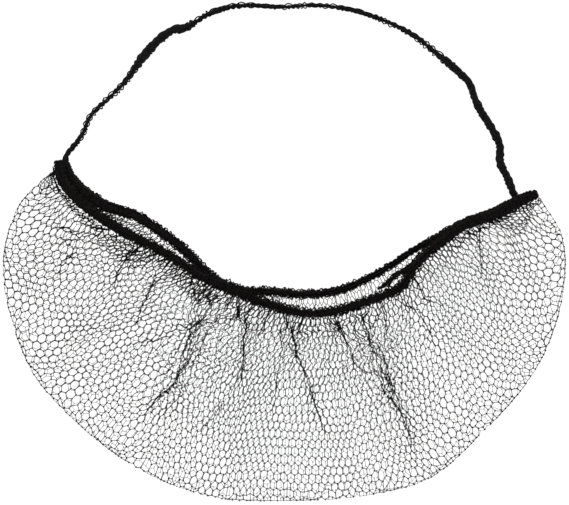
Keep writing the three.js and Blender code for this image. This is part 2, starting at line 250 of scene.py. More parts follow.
def gathered_curls(line, foot, crest, angles, pitch, turn_backs, fullness, seed):
    """Yarns that run along a gathered sleeve in curls, each from the foot's radius out to the crest's."""
    rng = np.random.default_rng(seed)
    side, upward = line_frames(line)
    run = lengths_along(line)
    curls = max(2, round(run[-1] / pitch))
    turn = np.linspace(0, 2 * np.pi * curls, curls * POINTS_PER_CURL + 1)
    which = np.minimum((turn / (2 * np.pi)).astype(int), curls - 1)
    yarns = []
    for strand_angle in angles:
        knots = np.concatenate([[0], np.cumsum(rng.uniform(*CURL_LENGTH, curls))])
        height = rng.uniform(*CURL_HEIGHT, curls)[which]
        turn_back = rng.uniform(*turn_backs, curls)[which]
        sway = rng.uniform(-CURL_SWAY, CURL_SWAY, curls)[which]
        place = np.interp(turn / (2 * np.pi), np.arange(curls + 1), knots / knots[-1] * run[-1])
        place = np.clip(place + pitch * turn_back * np.sin(turn), 0, run[-1])
        drift_places = np.linspace(0, run[-1], CURL_DRIFT_POINTS)
        drift = np.interp(place, drift_places, rng.normal(0, CURL_DRIFT, CURL_DRIFT_POINTS))
        angle = strand_angle + drift + sway * np.sin(turn / 2) ** 2
        low = np.interp(place, run, foot)
        high = np.interp(place, run, crest)
        reach = low + (high - low) * height * ((1 - np.cos(turn)) / 2) ** fullness
        yarn = at_lengths(place, run, line)
        yarn += at_lengths(place, run, side) * (reach * np.cos(angle))[:, None]
        yarn += at_lengths(place, run, upward) * (reach * np.sin(angle))[:, None]
        yarn[:, 2] = np.maximum(yarn[:, 2], CURL_REST_HEIGHT)
        yarns.append(yarn)
    return yarns


def yarn_node_tree():
    """Turns lines into round yarn: every run of edges becomes a tube as thick as its points say."""
    tree = bpy.data.node_groups.new("round_yarn", "GeometryNodeTree")
    interface = tree.interface
    interface.new_socket("Lines", in_out="INPUT", socket_type="NodeSocketGeometry")
    interface.new_socket("Sides", in_out="INPUT", socket_type="NodeSocketInt")
    interface.new_socket("Yarn", in_out="INPUT", socket_type="NodeSocketMaterial")
    interface.new_socket("Yarn mesh", in_out="OUTPUT", socket_type="NodeSocketGeometry")
    nodes, links = tree.nodes, tree.links
    entry = nodes.new("NodeGroupInput")
    leave = nodes.new("NodeGroupOutput")
    to_curve = nodes.new("GeometryNodeMeshToCurve")
    thickness = nodes.new("GeometryNodeInputNamedAttribute")
    thickness.data_type = "FLOAT"
    thickness.inputs["Name"].default_value = "thickness"
    ring = nodes.new("GeometryNodeCurvePrimitiveCircle")
    ring.inputs["Radius"].default_value = 1.0
    sweep = nodes.new("GeometryNodeCurveToMesh")
    sweep.inputs["Fill Caps"].default_value = True
    smooth = nodes.new("GeometryNodeSetShadeSmooth")
    realize = nodes.new("GeometryNodeRealizeInstances")
    set_material = nodes.new("GeometryNodeSetMaterial")
    links.new(entry.outputs["Lines"], to_curve.inputs["Mesh"])
    links.new(entry.outputs["Sides"], ring.inputs["Resolution"])
    links.new(to_curve.outputs["Curve"], sweep.inputs["Curve"])
    links.new(thickness.outputs["Attribute"], sweep.inputs["Scale"])
    links.new(ring.outputs["Curve"], sweep.inputs["Profile Curve"])
    links.new(sweep.outputs["Mesh"], smooth.inputs["Geometry"])
    links.new(smooth.outputs["Geometry"], realize.inputs["Geometry"])
    links.new(realize.outputs["Geometry"], set_material.inputs["Geometry"])
    links.new(entry.outputs["Yarn"], set_material.inputs["Material"])
    links.new(set_material.outputs["Geometry"], leave.inputs["Yarn mesh"])
    return tree


round_yarn = yarn_node_tree()


def made_by_nodes(name, start, tree, values):
    """The plain mesh piece that a node tree makes of a starting mesh, with the tree's inputs set by name."""
    piece = bpy.data.objects.new(name, start)
    bpy.context.scene.collection.objects.link(piece)
    modifier = piece.modifiers.new(tree.name, "NODES")
    modifier.node_group = tree
    for socket in tree.interface.items_tree:
        if socket.in_out == "INPUT" and socket.name in values:
            modifier[socket.identifier] = values[socket.name]
    evaluated = piece.evaluated_get(bpy.context.evaluated_depsgraph_get())
    mesh = bpy.data.meshes.new_from_object(evaluated)
    piece.modifiers.clear()
    piece.data = mesh
    mesh.name = name
    bpy.data.meshes.remove(start)
    return piece


def knit_piece(name, yarns, thickness, sides, material):
    """One plain mesh piece of round yarns that follow the given lines, in millimetres."""
    counts = [len(yarn) for yarn in yarns]
    starts = np.concatenate([[0], np.cumsum(counts)])
    edges = [
        np.column_stack([np.arange(a, b - 1), np.arange(a + 1, b)])
        for a, b in zip(starts[:-1], starts[1:])
    ]
    lines = bpy.data.meshes.new(name + "_lines")
    lines.from_pydata(np.vstack(yarns) * MM, np.vstack(edges).tolist(), [])
    lines.attributes.new("thickness", "FLOAT", "POINT").data.foreach_set(
        "value", np.concatenate(thickness).astype(np.float32) * MM
    )
    return made_by_nodes(name, lines, round_yarn, {"Sides": sides, "Yarn": material})


ROUGHNESS_SPREAD = 0.12
FIBRE_RELIEF = 0.2


def black_yarn(name, deep, worn, grain, roughness):
    """Black dyed yarn: a deep colour with worn, greyer fibres, a soft sheen and fine fibre relief."""
    material = bpy.data.materials.new(name)
    material.use_nodes = True
    nodes, links = material.node_tree.nodes, material.node_tree.links
    shader = nodes["Principled BSDF"]
    shader.inputs["Specular IOR Level"].default_value = 0.06
    shader.inputs["Sheen Weight"].default_value = 0.02
    shader.inputs["Sheen Roughness"].default_value = 0.6
    place = nodes.new("ShaderNodeTexCoord")
    fibres = nodes.new("ShaderNodeTexNoise")
    fibres.inputs["Scale"].default_value = grain
    fibres.inputs["Detail"].default_value = 4.0
    shade = nodes.new("ShaderNodeValToRGB")
    shade.color_ramp.elements[0].position = 0.35
    shade.color_ramp.elements[0].color = (*deep, 1)
    shade.color_ramp.elements[1].position = 0.75
    shade.color_ramp.elements[1].color = (*worn, 1)
    matt = nodes.new("ShaderNodeMapRange")
    matt.inputs["To Min"].default_value = roughness - ROUGHNESS_SPREAD
    matt.inputs["To Max"].default_value = roughness + ROUGHNESS_SPREAD
    relief = nodes.new("ShaderNodeBump")
    relief.inputs["Strength"].default_value = 0.5
    relief.inputs["Distance"].default_value = FIBRE_RELIEF * MM
    links.new(place.outputs["Object"], fibres.inputs["Vector"])
    links.new(fibres.outputs["Fac"], shade.inputs["Fac"])
    links.new(shade.outputs["Color"], shader.inputs["Base Color"])
    links.new(fibres.outputs["Fac"], matt.inputs["Value"])
    links.new(matt.outputs["Result"], shader.inputs["Roughness"])
    links.new(fibres.outputs["Fac"], relief.inputs["Height"])
    links.new(relief.outputs["Normal"], shader.inputs["Normal"])
    return material


loop_yarn = black_yarn(
    "loop_yarn",
    deep=(0.0012, 0.0010, 0.0010),
    worn=(0.024, 0.021, 0.021),
    grain=1300.0,
    roughness=0.7,
)
loop_line = even_line([LOOP_LEFT_END, *LOOP_ROUTE, LOOP_RIGHT_END], LINE_STEP)
loop_length = lengths_along(loop_line)[-1]
loop_share = np.linspace(0, 1, len(loop_line))
loop_run = loop_share * loop_length
shares, core_radii, curl_reaches = np.array(LOOP_THICKNESS).T
loop_lumps = lumpy(loop_run, LOOP_SWELL_SEED, *LOOP_SWELL)
loop_core = np.interp(loop_share, shares, core_radii) * loop_lumps
loop_reach = np.interp(loop_share, shares, curl_reaches) * loop_lumps
loop_openness = np.clip(LOOP_OPENNESS_RATE * (loop_reach / loop_core - 1), LOOP_LEAST_OPENNESS, 1)
loop_core *= 1 + loop_openness * (lumpy(loop_run, LOOP_CORE_SWELL_SEED, *LOOP_CORE_SWELL) - 1)
resting_line = np.column_stack([loop_line[:, :2], np.maximum(loop_line[:, 2], loop_core)])
head_loop = knit_piece("head_loop_elastic", [resting_line], [loop_core], LOOP_CORE_SIDES, loop_yarn)
loop_foot = LOOP_FOOT_SHARE * loop_core
loop_bump = loop_core + LOOP_BUMP_HEIGHT * (1 - loop_openness)
loop_curls = gathered_curls(
    loop_line,
    loop_foot,
    loop_bump,
    LOOP_CURL_ANGLES,
    LOOP_CURL_PITCH,
    CURL_TURN_BACK,
    CURL_FULLNESS,
    LOOP_CURL_SEED,
)
for angle, pitch, seed in LOOP_ARCHES:
    loop_curls += gathered_curls(
        loop_line, loop_foot, loop_reach, [angle], pitch, ARCH_TURN_BACK, ARCH_FULLNESS, seed
    )
loop_yarn_radii = [CURL_YARN_RADIUS] * LOOP_STRANDS + [LOOP_ARCH_YARN_RADIUS] * len(LOOP_ARCHES)
loop_sleeve = knit_piece(
    "head_loop_sleeve",
    loop_curls,
    [np.full(len(yarn), radius) for yarn, radius in zip(loop_curls, loop_yarn_radii)],
    CURL_SIDES,
    loop_yarn,
)
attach(head_loop, "root")
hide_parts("head_loop")
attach(loop_sleeve, "root")


# Gathered edges: the net's two long edges are each drawn up on an elastic, so that the yarn crowds into a
# thick roll, packed at the ends and open in loops at the middle. The back one lies on the table. The front
# one is held up off it by the springy net below, and a short tuck of net leaves it near the right.

# One row for each section across the pouch, from its left corner to its right one.
# bx, by, br: the back edge's centre and radius. fx, fy, fz, fr: the front edge's. rx, ry: the outer rim.
SECTION_COLUMNS = ("bx", "by", "br", "fx", "fy", "fz", "fr", "rx", "ry")
SECTION_ROWS = [
    (-110.5, 85.0, 2.6, -112.9, 84.8, 7.2, 2.6, -115.2, 81.0),
    (-108.5, 78.2, 2.75, -111.2, 75.5, 7.4, 2.75, -118.9, 77.8),
    (-102.3, 70.5, 2.75, -104.2, 66.4, 8.0, 2.75, -132.2, 64.5),
    (-89.9, 62.2, 2.75, -93.2, 57.4, 9.0, 2.75, -139.2, 48.0),
    (-75.2, 57.4, 2.75, -80.2, 49.1, 10.5, 2.6, -141.5, 28.5),
    (-61.4, 48.8, 2.75, -67.2, 42.6, 11.5, 2.6, -137.7, 7.0),
    (-47.6, 37.6, 2.75, -53.7, 35.1, 12.5, 2.6, -126.7, -21.5),
    (-36.8, 27.0, 2.75, -40.2, 26.1, 13.5, 2.75, -103.7, -47.5),
    (-22.2, 19.9, 2.75, -23.2, 18.9, 14.0, 2.75, -70.7, -71.5),
    (-6.2, 19.1, 2.3, -7.2, 12.9, 14.5, 2.75, -34.7, -84.5),
    (9.3, 17.9, 2.3, 10.3, 8.8, 14.5, 2.5, 1.8, -86.0),
    (26.3, 19.6, 2.25, 27.8, 10.3, 14.5, 2.6, 38.8, -83.8),
    (39.0, 24.4, 2.1, 43.8, 15.5, 14.0, 2.6, 73.3, -74.5),
    (52.2, 31.6, 1.85, 57.8, 21.5, 13.0, 2.75, 99.8, -51.5),
    (64.3, 39.7, 1.6, 66.4, 33.8, 12.0, 2.75, 121.3, -27.5),
    (77.2, 46.5, 2.2, 77.8, 43.8, 10.0, 2.75, 134.8, -2.5),
    (89.3, 52.5, 2.75, 89.8, 52.8, 8.6, 2.75, 141.1, 27.5),
    (104.8, 58.0, 2.75, 104.8, 58.4, 8.6, 2.85, 139.3, 48.0),
    (118.8, 65.0, 2.75, 118.8, 65.5, 8.6, 2.75, 130.6, 62.8),
    (126.4, 68.0, 2.4, 126.5, 68.2, 8.4, 2.5, 128.2, 67.0),
]
# Shares of the roll's radius: its core and its curls' reach, where it is packed and where it is open, then
# its two ends, before it tapers up to full. The curls' feet are a share of the core's radius.
BAND_CORE_SHARE = (0.95, 0.55)
BAND_CURL_REACH = (1.04, 1.24)
BAND_END_SHARE = 0.8
BAND_END_TAPER = 3.0
BAND_FOOT_SHARE = 0.9
BAND_STRANDS = 9
BAND_CURL_ANGLES = 2 * np.pi * np.arange(BAND_STRANDS) / BAND_STRANDS
BAND_CURL_PITCH = 2.2
BAND_YARN_RADIUS = 0.33
BAND_CORE_SIDES = 14
# How the roll and, more finely, its core swell along the edge: shortest wave, longest, depth.
BAND_SWELL = (3.0, 8.0, 0.05)
BAND_CORE_SWELL = (1.6, 3.4, 0.12)
BACK_SEED = 21
FRONT_SEED = 22
TUCK_SEED = 23
CORE_SEED_STEP = 50
# How open the gathers stand: section, from 0 for packed tight to 1 for open loops.
GATHER_OPENNESS = [
    (0, 0.3),
    (1, 0.1),
    (3, 0.2),
    (5, 0.7),
    (8, 0.8),
    (13, 0.9),
    (14.5, 0.5),
    (16, 0.1),
    (18, 0.2),
    (19, 0.8),
]
# The back edge is thicker where it runs close along the front one: section, factor.
BACK_SWELL = [
    (0, 1.0),
    (1.5, 1.15),
    (2.5, 1.2),
    (3.5, 1.1),
    (5, 1.0),
    (15, 1.0),
    (16, 1.15),
    (18, 1.15),
    (19, 1.0),
]
# The tuck of net that leaves the front edge, thick end first: centre, radius. Then how open its rows are.
TUCK_ROWS = [
    (65.8, 32.3, 12.2, 1.7),
    (61.5, 30.6, 12.0, 1.8),
    (57.8, 28.8, 11.8, 1.3),
    (55.6, 27.4, 11.7, 1.7),
    (53.6, 25.6, 11.6, 1.2),
    (51.5, 23.4, 11.5, 1.4),
    (49.0, 21.9, 11.4, 0.9),
    (46.4, 20.5, 11.4, 0.4),
]
TUCK_OPENNESS = [(0, 0.3), (1, 0.8), (7, 1.0)]

section = dict(zip(SECTION_COLUMNS, np.array(SECTION_ROWS).T))
last_section = len(SECTION_ROWS) - 1
back_points = np.column_stack([section["bx"], section["by"], section["br"]])
front_points = np.column_stack([section["fx"], section["fy"], section["fz"]])
rim_points = np.column_stack([section["rx"], section["ry"], 0 * section["rx"]])
band_yarn = black_yarn(
    "band_yarn",
    deep=(0.0008, 0.0007, 0.0007),
    worn=(0.020, 0.017, 0.016),
    grain=1200.0,
    roughness=0.75,
)


def gathered_edge(name, points, radii, opennesses, seed, node):
    """An elastic core and, round it, the crowded curls of the net's gathered edge."""
    line = even_line(points, LINE_STEP)
    sections_run = lengths_along(points)
    length = sections_run[-1]
    run = np.linspace(0, length, len(line))
    radius = np.interp(run, sections_run, radii) * lumpy(run, seed, *BAND_SWELL)
    from_end = np.minimum(run, length - run) / BAND_END_TAPER
    radius *= np.clip(BAND_END_SHARE + (1 - BAND_END_SHARE) * from_end, 0, 1)
    places = np.interp(run, sections_run, np.arange(len(points)))
    openness = np.interp(places, *np.array(opennesses).T)
    core_lumps = lumpy(run, seed + CORE_SEED_STEP, *BAND_CORE_SWELL)
    core_radius = np.interp(openness, (0, 1), BAND_CORE_SHARE) * radius * core_lumps
    line[:, 2] = np.maximum(line[:, 2], core_radius)
    core = knit_piece(name + "_elastic", [line], [core_radius], BAND_CORE_SIDES, band_yarn)
    foot = BAND_FOOT_SHARE * core_radius
    crest = np.interp(openness, (0, 1), BAND_CURL_REACH) * radius
    curls = gathered_curls(
        line, foot, crest, BAND_CURL_ANGLES, BAND_CURL_PITCH, ARCH_TURN_BACK, ARCH_FULLNESS, seed
    )
    thickness = [np.full(len(yarn), BAND_YARN_RADIUS) for yarn in curls]
    gathers = knit_piece(name + "_gathers", curls, thickness, CURL_SIDES, band_yarn)
    for piece in (core, gathers):
        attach(piece, "root")
        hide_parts(node)


tuck = np.array(TUCK_ROWS)
back_radii = section["br"] * np.interp(np.arange(last_section + 1), *np.array(BACK_SWELL).T)
gathered_edge("back_band", back_points, back_radii, GATHER_OPENNESS, BACK_SEED, "back_band")
gathered_edge("front_band", front_points, section["fr"], GATHER_OPENNESS, FRONT_SEED, "front_band")
gathered_edge("front_tuck", tuck[:, :3], tuck[:, 3], TUCK_OPENNESS, TUCK_SEED, "front_band")


# Net pouch: one light knitted net of six-sided cells, folded along its rim into a back and a front layer,
# with its wales fanning out from the gathered edges. Two fine yarns run together down each cell's sides,
# knotted there, and part at its ends. The back layer is drawn finer, as it looks through the front one.

# The surface: its wall and the fold at the rim, its gap to the edges, and how the layers rise and ruffle.
# A reach is a share of the way from the gathered edge to the rim. A layer is -1 at the back, 1 at the front.
NET_WALL = 1.2
FOLD_RADIUS = 2.2
SEAT_GAP = 0.5
CROWN = 8.0
CROWN_SKEW = 0.8
BACK_DROP = 0.16
RUFFLES = 20
RUFFLE_REACH = 0.16
MOST_RUFFLE = 1.1
RUFFLE_GAIN = 1.6
BACK_RUFFLE = 1.4
FRONT_RUFFLE = 1.6

# The cells: their width and height at the pouch's middle and at its sides, and how the rows crowd and slant.
POUCH_HALF_WIDTH = 141.0
SIDE_GROWTH = 1.5
CELL_WIDTH_MIDDLE = 3.4
CELL_WIDTH_SIDES = 4.7
CELL_ROW_MIDDLE = 4.3
CELL_ROW_SIDES = 3.75
CELL_POINT = 0.15
CELL_SEED = 31
ROW_CROWDING = 0.07
ROW_SLANT = 0.02
MOST_ROWS = 40
GATHER_TO_MIDDLE = 1.03
RIM_SLACK = 2.2
RIM_WIDTH = 4.5
CORNER_PLACE = 0.12
PLACE_SAMPLES = 3000

# The yarn and its knots, on each layer.
NET_YARN_RADIUS = {-1: 0.12, 1: 0.218}
NET_YARN_SIDES = 3
TWIST_LIFT = 0.15
EDGE_OVERRUN = 0.03
KNOT_RADIUS = 0.5
EDGE_KNOT_RADIUS = 0.38
KNOT_SLACK_REACH = 0.5
KNOT_SIZE = {-1: 0.67, 1: 1.15}
KNOT_SEGMENTS = 4
KNOT_RINGS = 2
# How full the yarn is, slack or stretched: section, factor. Then how much fuller it is beside the edges.
YARN_FULLNESS = [(0, 1.12), (4, 1.12), (6, 0.98), (8, 0.88), (13, 0.88), (15, 1.0), (19, 1.0)]
EDGE_BULK = {-1: 0.8, 1: 0.7}
EDGE_BULK_REACH = 0.18

# How far single knots stray, in cells: everywhere, more beside the edge, and more at the rim.
JITTER = 0.05
EDGE_JITTER = 0.11
EDGE_JITTER_REACH = 0.25
RIM_JITTER = 0.2
RIM_JITTER_START = 0.93
# Slow drifts of many cells together: seed, amount in cells, length of a wave across and along.
DRIFT_ACROSS = (41, 0.2, 30, 12)
DRIFT_OF_COLUMNS = (43, 0.5, 40, 1)
DRIFT_ALONG = (42, 0.15, 26, 10)
DRIFT_WAVES = 7
DRIFT_SPREAD = (0.4, 1.6)

# The main folds of the front layer. at: where it leaves the edge, in ruffles from the left.
# rise: its height. reach: how far it runs towards the rim.
FOLD_SPREAD = 0.45
FOLD_FULL_SHARE = 0.25
FRONT_FOLDS = [
    (3.5, 2.5, 0.5),
    (5.2, 2.5, 0.6),
    (7.1, 4.0, 0.75),
    (8.4, 2.5, 0.4),
    (9.8, 3.5, 0.5),
    (11.0, 3.0, 0.65),
    (12.8, 4.0, 0.95),
    (14.3, 3.0, 0.5),
    (16.4, 2.5, 0.45),
    (18.2, 2.0, 0.5),
]

# The creases where the net is drawn together: layer, width, pull, then its course over the pouch.
# width: how far to each side the net is drawn in. pull: how tightly, with the yarns in one line from 1 up.
CREASES = [
    (1, 8.0, 0.8, [
        (-37, 14), (-41, 5), (-45, -3), (-48, -12), (-51, -20), (-55, -28), (-62, -34), (-72, -45),
    ]),
    (1, 7.0, 0.8, [(40, 5), (43, -5), (46, -13), (48, -20), (51, -27), (54, -35), (58, -43), (62, -52)]),
    (1, 6.0, 0.65, [(-21, 9), (-20, 0), (-20.5, -10), (-21.5, -22), (-23, -32)]),
    (1, 6.0, 0.65, [(1, 6), (5, -4), (8, -15), (12, -26), (16, -38), (20, -48)]),
    (1, 6.0, 0.6, [(27, 8), (29, -2), (33, -11), (38, -20)]),
    (1, 5.0, 0.6, [(-76, 42), (-81, 33), (-84, 25), (-86, 17)]),
    (1, 2.4, 1.6, [(-102.7, 41.5), (-106.2, 37.0), (-110.7, 34.0), (-111.7, 30.0), (-111.7, 25.0)]),
    (-1, 2.4, 1.6, [(-131.2, 41.5), (-124.7, 36.0), (-118.7, 28.5), (-115.7, 24.5), (-113.7, 21.5)]),
    (1, 2.6, 1.8, [(-63.7, 30.5), (-65.2, 23.5), (-68.7, 16.5), (-71.2, 10.5), (-73.7, 3.5), (-76.2, 0.0)]),
    (1, 2.6, 1.2, [
        (-70.7, 41.0), (-75.2, 38.5), (-79.7, 34.0), (-82.7, 29.0), (-84.2, 23.5), (-85.2, 19.0),
    ]),
    (1, 2.8, 1.5, [(-46.7, 28.0), (-45.2, 20.0), (-43.2, 12.5)]),
    (-1, 2.4, 1.2, [(-114.7, 1.5), (-107.2, 1.5), (-94.7, 0.5), (-82.2, -0.5), (-76.2, -1.0)]),
    (-1, 2.2, 1.1, [(-120.2, -5.0), (-102.2, -5.5), (-94.7, -4.0)]),
    (1, 2.2, 1.5, [
        (-117.0, 50.5), (-112.0, 52.0), (-107.0, 49.0), (-99.7, 48.5), (-92.2, 47.0), (-84.7, 45.0),
    ]),
    (1, 2.0, 1.4, [(-115.0, 46.0), (-108.0, 44.5), (-101.0, 45.5), (-94.0, 43.0), (-88.0, 41.0)]),
    (1, 2.0, 1.4, [(-106.0, 55.5), (-99.0, 52.8), (-92.5, 51.0), (-86.0, 49.0)]),
    (1, 2.2, 1.2, [(-113.2, 50.5), (-110.0, 51.2), (-107.2, 51.5)]),
    (1, 2.0, 1.1, [(-76.5, -8.5), (-67.9, -5.5), (-58.7, -2.0), (-53.7, 1.5), (-47.9, 4.5), (-40.7, 9.5)]),
    (1, 2.4, 1.6, [(-37.9, 8.5), (-42.2, 4.3), (-45.7, 1.5), (-48.7, -7.0), (-50.7, -11.5), (-52.2, -18.0)]),
    (1, 2.2, 1.5, [
        (-51.2, -13.0), (-52.9, -22.0), (-56.5, -27.9), (-61.5, -31.5), (-65.7, -36.5), (-72.9, -46.5),
    ]),
    (1, 2.0, 1.5, [
        (-35.7, 3.5), (-37.9, -1.5), (-40.2, -8.0), (-42.2, -12.0), (-45.7, -18.5), (-47.2, -25.0),
    ]),
    (1, 1.8, 1.2, [(-40.5, 2.0), (-43.5, -6.0), (-46.0, -12.0), (-49.5, -19.0), (-52.0, -24.0)]),
    (1, 1.8, 1.3, [(-44.5, 6.5), (-50.5, -4.0), (-54.5, -12.0), (-57.5, -20.0), (-62.0, -27.0)]),
    (1, 1.8, 1.3, [(-47.0, -23.0), (-50.5, -30.0), (-56.0, -37.0), (-62.0, -43.0), (-66.0, -49.0)]),
    (1, 1.8, 1.2, [(-32.9, 9.5), (-33.7, 4.5), (-35.7, 0.7)]),
    (-1, 2.4, 1.4, [(-29.2, -34.5), (-31.2, -37.5), (-37.2, -44.0), (-40.7, -50.0), (-43.0, -53.0)]),
    (1, 4.0, 2.4, [(-38.7, 18.0), (-37.2, 15.0), (-37.5, 12.0)]),
    (1, 3.2, 2.2, [(-23.5, 12.5), (-22.9, 9.5), (-24.3, 4.5)]),
    (1, 2.2, 1.5, [
        (-21.2, 9.5), (-18.7, 2.5), (-20.2, -4.0), (-20.2, -11.5), (-20.7, -19.0), (-21.7, -28.5),
    ]),
    (-1, 2.4, 1.2, [(-20.2, -16.0), (-22.2, -22.5), (-25.7, -29.0), (-27.7, -34.5)]),
    (1, 2.0, 1.2, [(-2.7, 3.0), (-2.2, -4.5), (-1.7, -9.0), (-2.2, -16.0)]),
    (1, 2.0, 1.2, [(-4.7, -18.0), (-3.7, -26.0), (-5.2, -36.0), (-3.7, -44.0)]),
    (1, 2.1, 1.5, [(0.3, 7.0), (1.8, 4.0), (5.3, -4.0), (6.8, -13.0), (9.8, -20.0), (12.8, -28.0)]),
    (1, 2.1, 1.5, [(11.8, -25.5), (14.8, -36.0), (17.8, -44.0), (19.8, -49.0), (22.8, -55.0)]),
    (1, 2.0, 1.2, [(-0.2, -3.5), (3.8, -9.5), (6.8, -15.5)]),
    (1, 2.9, 1.5, [(37.5, 9.0), (38.8, 5.7), (41.3, 0.0), (45.8, -6.5)]),
    (1, 2.0, 1.4, [(41.3, -0.5), (43.3, -10.0), (44.3, -17.0)]),
    (1, 2.0, 1.5, [
        (44.3, -3.5), (46.3, -6.5), (49.3, -13.5), (51.3, -18.0),
        (53.5, -24.3), (55.7, -30.0), (61.3, -35.5),
    ]),
    (1, 2.0, 1.4, [(32.1, -8.5), (34.8, -16.5), (39.3, -20.0), (44.3, -22.0), (47.1, -25.5), (49.8, -31.5)]),
    (1, 2.2, 1.6, [
        (47.1, -25.5), (49.8, -31.5), (54.8, -37.0), (57.8, -42.0), (60.7, -48.5), (63.8, -58.0),
    ]),
    (1, 2.0, 1.4, [(26.3, 6.0), (27.1, 0.7), (33.3, -10.5)]),
    (1, 1.8, 1.3, [(34.0, 4.0), (37.0, -6.0), (41.0, -14.0), (46.0, -21.0), (50.0, -27.5)]),
    (1, 1.8, 1.3, [(48.0, -17.0), (52.0, -26.0), (57.0, -35.0), (62.0, -44.0), (66.0, -51.0)]),
    (1, 2.0, 1.2, [(60.3, -47.5), (63.3, -55.0), (63.3, -60.0), (66.8, -63.0)]),
    (1, 2.0, 1.4, [(47.8, 9.0), (46.3, 6.5), (44.3, 3.0), (41.5, 0.5)]),
    (1, 2.6, 1.4, [(97.8, 55.0), (97.3, 45.0), (97.8, 35.0), (98.3, 25.5)]),
    (1, 2.2, 1.2, [(67.1, 16.5), (72.8, 15.0), (80.7, 12.2)]),
    (1, 2.4, 1.4, [(56.8, 15.5), (62.1, 12.2), (65.7, 9.5), (68.5, 5.7), (72.8, -2.0), (74.3, -8.5)]),
    (-1, 2.4, 1.1, [(110.3, 52.5), (112.8, 45.0), (115.8, 37.5)]),
]
# How a crease is followed, how many widths off it still draws, how it fades at its ends and narrows on its
# way, how uneven it is (shortest wave, longest, depth), and how its yarns stand up, scatter and swell.
CREASE_STEP = 0.7
CREASE_LIMIT = 5
CREASE_END = 0.2
CREASE_START_WIDTH = 1.2
CREASE_LAST_WIDTH = 0.6
CREASE_UNEVEN = (4.0, 11.0, 0.3)
CREASE_STRENGTH = (0.2, 1.4)
CREASE_RISE = 0.6
CREASE_SCATTER = 0.22
CREASE_SEED = 61
CREASE_BULK = 0.3

# The small pleats that leave the gathered edges: how far apart and how wide, in sections, how far they
# stray, how tight they are, and how far they run towards the rim, at full depth for the first share of that.
PLEAT_MARGIN = 0.6
PLEAT_SPACING = 0.4
PLEAT_STRAY = 0.5
PLEAT_WIDTH = (0.04, 0.12)
PLEAT_PULL = (0.8, 1.6)
PLEAT_REACH = (0.08, 0.5)
PLEAT_FULL_SHARE = 0.2
PLEAT_SEED = 50


def smoothstep(value, low, high):
    """Rises smoothly from 0 at the low value to 1 at the high one."""
    part = np.clip((value - low) / (high - low), 0, 1)
    return part * part * (3 - 2 * part)


def towards_rim(points, places):
    """The level direction square to a line of sections, on the side of the outer rim."""
    step = 0.02
    along = smooth_line(points, places + step) - smooth_line(points, places - step)
    away = np.column_stack([along[:, 1], -along[:, 0], np.zeros(len(along))])
    return away / np.linalg.norm(away, axis=1, keepdims=True)


def layer_ends(places, side):
    """Where one layer leaves its gathered edge and meets the rim's fold, and the level way out there."""
    points, radii = (back_points, section["br"]) if side < 0 else (front_points, section["fr"])
    middle = last_section / 2
    share = places / middle - 1
    gathered = middle * (1 + np.sign(share) * np.abs(share) ** GATHER_TO_MIDDLE)
    radius = np.interp(gathered, np.arange(last_section + 1), radii)
    edge = smooth_line(points, gathered) + towards_rim(points, gathered) * (radius + SEAT_GAP)[:, None]
    outward = towards_rim(rim_points, places)
    return edge, smooth_line(rim_points, places) - outward * (FOLD_RADIUS + NET_WALL / 2), outward


def layer_length(edge, fold):
    """How far it is over one layer, from its gathered edge to the middle of the rim's fold."""
    return np.linalg.norm((fold - edge)[:, :2], axis=1) + np.pi / 2 * FOLD_RADIUS


def sideways(points):
    """How far out to the sides points lie: 0 at the pouch's middle, 1 at its widest."""
    return np.abs(points[:, 0] / POUCH_HALF_WIDTH) ** SIDE_GROWTH


def row_distance(places, rows, side):
    """How far in from the rim a row lies. Rows crowd at the rim, where the net is slack, and at the edge."""
    edge, fold, _ = layer_ends(places, side)
    length = layer_length(edge, fold)
    row_size = CELL_ROW_MIDDLE + (CELL_ROW_SIDES - CELL_ROW_MIDDLE) * sideways(fold)
    # Rows stop where the crowding would begin to turn them back.
    part = np.minimum(rows * row_size / length, (3 * ROW_CROWDING) ** -0.5)
    distance = (part - ROW_CROWDING * part**3) * length
    slack = RIM_SLACK * (1 - np.exp(-distance / RIM_WIDTH)) * np.clip(1 - distance / length, 0, 1)
    return distance - slack


